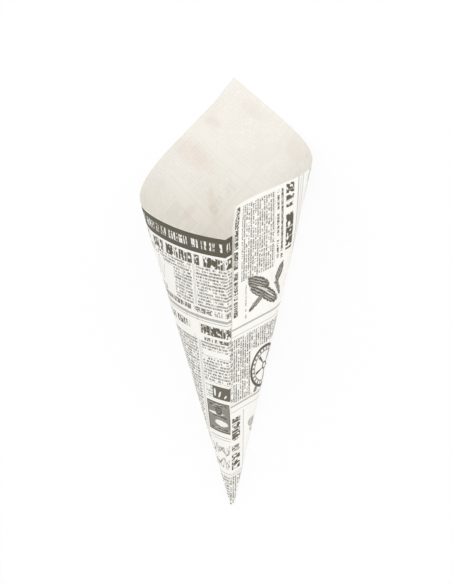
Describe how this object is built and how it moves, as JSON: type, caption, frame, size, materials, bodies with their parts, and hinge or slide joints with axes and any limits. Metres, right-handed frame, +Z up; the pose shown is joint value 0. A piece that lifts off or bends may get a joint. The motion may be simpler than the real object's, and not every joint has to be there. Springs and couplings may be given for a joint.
{
  "type": "cone paper cup",
  "caption": "Cone paper cup rolled from one sheet of printed greaseproof paper, creased flat front and back, lapped, with a tall pointed back.",
  "frame": {"origin": "centre of the lying cup's base box, on the surface that it rests on", "axes": "+Y from the tip towards the mouth along the surface, +Z up from the surface, +X to the right when looking along +Y"},
  "size_m": [0.1536, 0.3988, 0.1484],
  "materials": {
    "printed_paper": "matt, thin greaseproof paper, printed outside in dark ink, plain inside"
  },
  "bodies": {
    "root": {"paper_cone": "printed_paper"}
  },
  "joints": []
}
